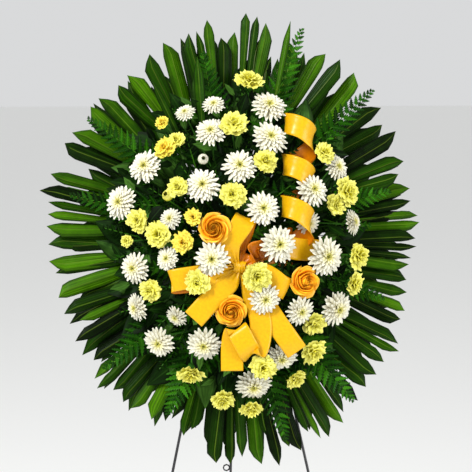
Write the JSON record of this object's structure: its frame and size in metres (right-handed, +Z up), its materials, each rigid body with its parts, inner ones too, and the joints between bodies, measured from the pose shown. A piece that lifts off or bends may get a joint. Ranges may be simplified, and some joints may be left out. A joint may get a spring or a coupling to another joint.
{
  "type": "standing funeral spray",
  "caption": "Oval spray of palm, fern, chrysanthemums, carnations and roses with a satin bow, tied to a folding wire easel.",
  "frame": {"origin": "on the floor, below the middle of the box that holds the whole object", "axes": "+Z up, +X to the right seen from the front, +Y to the back; the flowers face -Y"},
  "size_m": [0.6678, 0.5729, 1.5003],
  "materials": {
    "white_petals": "soft matt petals",
    "lemon_petals": "soft matt petals",
    "gold_petals": "soft satin petals",
    "palm_leaf": "satin leaf",
    "fern_leaf": "satin leaf",
    "gold_satin": "glossy satin weave",
    "wet_foam": "matt",
    "green_plastic": "satin",
    "tie_wire": "dull",
    "black_wire": "satin black enamel"
  },
  "bodies": {
    "spray_on_easel": {"mums_upper_left": "white_petals", "mums_left": "white_petals", "mums_upper_right": "white_petals", "mums_right": "white_petals", "mums_lower_left": "white_petals", "mums_bottom": "white_petals", "mums_lower_right": "white_petals", "carnations_upper_left": "lemon_petals", "carnations_left": "lemon_petals", "carnations_top": "lemon_petals", "carnations_right": "lemon_petals", "carnations_lower_left": "lemon_petals", "carnations_lower_right": "lemon_petals", "rose_upper": "gold_petals", "rose_right": "gold_petals", "rose_lower": "gold_petals", "ribbon_bow": "gold_satin", "fern_upper_left": "fern_leaf", "fern_top_left": "fern_leaf", "fern_top_right": "fern_leaf", "fern_right_upper": "fern_leaf", "fern_right": "fern_leaf", "fern_right_lower": "fern_leaf", "fern_lower_right": "fern_leaf", "fern_bottom": "fern_leaf", "fern_lower_left": "fern_leaf", "fern_left_lower": "fern_leaf", "fern_left": "fern_leaf", "palm_strip_upper_left": "palm_leaf", "palm_strip_top_left": "palm_leaf", "palm_strip_top_right": "palm_leaf", "palm_fan_1": "palm_leaf", "palm_fan_2": "palm_leaf", "palm_fan_3": "palm_leaf", "palm_fan_4": "palm_leaf", "palm_fan_5": "palm_leaf", "palm_fan_6": "palm_leaf", "palm_fan_7": "palm_leaf", "palm_fan_8": "palm_leaf", "palm_fan_9": "palm_leaf", "palm_fan_10": "palm_leaf", "palm_fan_11": "palm_leaf", "palm_fan_12": "palm_leaf", "palm_fan_13": "palm_leaf", "palm_fan_14": "palm_leaf", "palm_fan_15": "palm_leaf", "palm_fan_16": "palm_leaf", "palm_fan_17": "palm_leaf", "palm_fan_18": "palm_leaf", "palm_fan_19": "palm_leaf", "palm_fan_20": "palm_leaf", "palm_fan_21": "palm_leaf", "palm_fan_22": "palm_leaf", "foam_brick": "wet_foam", "foam_tray": "green_plastic", "tie_left": "tie_wire", "tie_right": "tie_wire", "easel_front_frame": "black_wire", "easel_lower_bar": "black_wire"},
    "rear_leg": {"easel_rear_leg": "black_wire"}
  },
  "joints": [
    {"name": "rear_leg_hinge", "type": "hinge", "parent": "spray_on_easel", "child": "rear_leg", "pos_m": [0.012, -0.0632, 1.129], "axis": [1, 0, 0], "range_deg": [-24, 0]}
  ]
}
